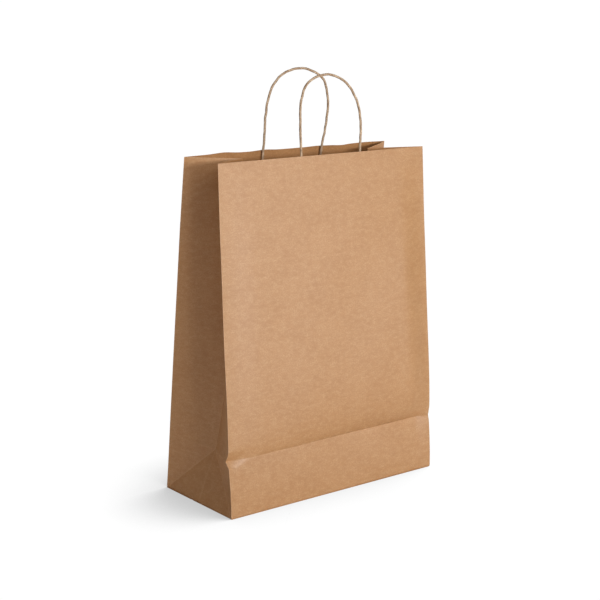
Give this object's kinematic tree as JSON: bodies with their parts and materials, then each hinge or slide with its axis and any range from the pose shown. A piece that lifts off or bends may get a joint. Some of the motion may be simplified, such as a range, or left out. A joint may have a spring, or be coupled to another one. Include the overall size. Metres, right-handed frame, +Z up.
{
  "type": "gift bag",
  "caption": "Gusseted kraft paper carrier bag standing open on a folded square base, with a twisted paper cord handle on each wide panel.",
  "frame": {"origin": "middle of the rectangular base, on the surface that the bag stands on", "axes": "+X across the width, the front panel and its fold face -Y, +Z up through the mouth"},
  "size_m": [0.32, 0.14, 0.5205],
  "materials": {
    "kraft_sheet": "matt brown kraft paper, about 110 g per square metre, fine fibre grain",
    "patch_paper": "matt brown kraft reinforcing strip",
    "twisted_cord": "pale kraft paper twisted into a round cord"
  },
  "bodies": {
    "bag_body": {"front_band": "kraft_sheet", "back_panel": "kraft_sheet", "left_gusset_foot_front": "kraft_sheet", "left_gusset_foot_middle": "kraft_sheet", "left_gusset_foot_rear": "kraft_sheet", "right_gusset_foot_front": "kraft_sheet", "right_gusset_foot_middle": "kraft_sheet", "right_gusset_foot_rear": "kraft_sheet", "left_gusset_rear": "kraft_sheet", "right_gusset_rear": "kraft_sheet", "left_gusset_front": "kraft_sheet", "right_gusset_front": "kraft_sheet", "front_base_flap": "kraft_sheet", "rear_base_flap": "kraft_sheet", "left_base_tuck": "kraft_sheet", "right_base_tuck": "kraft_sheet", "side_seam_tab": "kraft_sheet", "rear_patch_backing": "patch_paper", "rear_patch_cover": "patch_paper", "rear_handle_left_end": "twisted_cord", "rear_handle_right_end": "twisted_cord"},
    "front_panel": {"front_panel": "kraft_sheet", "front_patch_backing": "patch_paper", "front_patch_cover": "patch_paper", "front_handle_left_end": "twisted_cord", "front_handle_right_end": "twisted_cord"},
    "front_handle": {"front_handle_loop": "twisted_cord"},
    "rear_handle": {"rear_handle_loop": "twisted_cord"}
  },
  "joints": [
    {"name": "mouth_fold", "type": "hinge", "parent": "bag_body", "child": "front_panel", "pos_m": [0, -0.066, 0.07], "axis": [-1, 0, 0], "range_deg": [-6, 3], "deforming": ["left_gusset_front", "right_gusset_front"]},
    {"name": "front_handle_swing", "type": "hinge", "parent": "front_panel", "child": "front_handle", "pos_m": [0, -0.03773, 0.42218], "axis": [1, 0, 0], "range_deg": [-6, 170]},
    {"name": "rear_handle_swing", "type": "hinge", "parent": "bag_body", "child": "rear_handle", "pos_m": [0, 0.03271, 0.42218], "axis": [-1, 0, 0], "range_deg": [-4, 165]}
  ]
}
